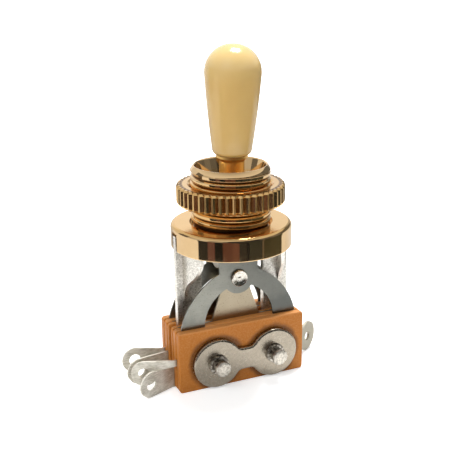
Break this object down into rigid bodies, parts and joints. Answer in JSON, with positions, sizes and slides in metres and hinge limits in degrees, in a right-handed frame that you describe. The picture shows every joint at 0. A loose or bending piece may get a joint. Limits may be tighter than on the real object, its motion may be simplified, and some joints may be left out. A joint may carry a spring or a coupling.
{
  "type": "toggle switch",
  "caption": "Three-position toggle switch with a moulded tip, threaded bushing, knurled nut, open can and a clamped stack of contact leaves with solder lugs.",
  "frame": {"origin": "bushing axis at the cap's top face, where the panel seats", "axes": "+Z along the bushing towards the tip, X along the insulator plates' long side, the lever swings in the YZ plane"},
  "size_m": [0.0335, 0.0184, 0.0513],
  "materials": {
    "tip_plastic": "cream moulded plastic, glossy",
    "gold_plate": "polished gold plating",
    "can_nickel": "satin nickel with fine speckle",
    "clamp_nickel": "satin nickel, stamped and rounded",
    "leaf_steel": "grey satin spring metal",
    "tapered_metal": "warm grey satin spring metal",
    "contact_silver": "bright contact metal",
    "pin_steel": "satin steel",
    "phenolic": "orange-brown phenolic board",
    "sleeve_plastic": "pale insulating tube",
    "shoe_nylon": "natural moulded nylon"
  },
  "bodies": {
    "housing": {"threaded_bushing": "gold_plate", "cap": "gold_plate", "can_sleeve": "can_nickel", "yoke_plate": "can_nickel", "ground_lug": "tapered_metal", "lever_cross_pin": "pin_steel", "front_outer_insulator": "phenolic", "front_middle_insulator": "phenolic", "front_inner_insulator": "phenolic", "rear_outer_insulator": "phenolic", "rear_middle_insulator": "phenolic", "rear_inner_insulator": "phenolic", "front_blade_foot": "tapered_metal", "rear_blade_foot": "tapered_metal", "front_tapered_leaf": "tapered_metal", "rear_tapered_leaf": "tapered_metal", "front_leaf_contact": "contact_silver", "rear_leaf_contact": "contact_silver", "front_clamp_plate": "clamp_nickel", "rear_clamp_plate": "clamp_nickel", "left_clamp_pin": "pin_steel", "right_clamp_pin": "pin_steel", "left_pin_sleeve": "sleeve_plastic", "right_pin_sleeve": "sleeve_plastic"},
    "lever_assembly": {"lever": "gold_plate", "lever_shoe": "shoe_nylon", "lever_tip": "tip_plastic"},
    "front_blade": {"front_arched_blade": "leaf_steel", "front_blade_contact": "contact_silver"},
    "rear_blade": {"rear_arched_blade": "leaf_steel", "rear_blade_contact": "contact_silver"},
    "nut": {"knurled_nut": "gold_plate"}
  },
  "joints": [
    {"name": "lever_swing", "type": "hinge", "parent": "housing", "child": "lever_assembly", "pos_m": [0, 0, -0.00176], "axis": [1, 0, 0], "range_deg": [-15.3, 8.7]},
    {"name": "front_blade_flex", "type": "hinge", "parent": "housing", "child": "front_blade", "pos_m": [0, -0.00259, -0.01529], "axis": [1, 0, 0], "range_deg": [-2.8, 4.9]},
    {"name": "rear_blade_flex", "type": "hinge", "parent": "housing", "child": "rear_blade", "pos_m": [0, 0.00259, -0.01529], "axis": [1, 0, 0], "range_deg": [-2.8, 4.9]},
    {"name": "nut_turn", "type": "hinge", "parent": "housing", "child": "nut", "pos_m": [0, 0, 0.0044], "axis": [0, 0, 1], "continuous": true}
  ],
  "couplings": [
    {"joint": "front_blade_flex", "follows": "lever_swing", "ratio": -0.315},
    {"joint": "rear_blade_flex", "follows": "lever_swing", "ratio": -0.315}
  ]
}
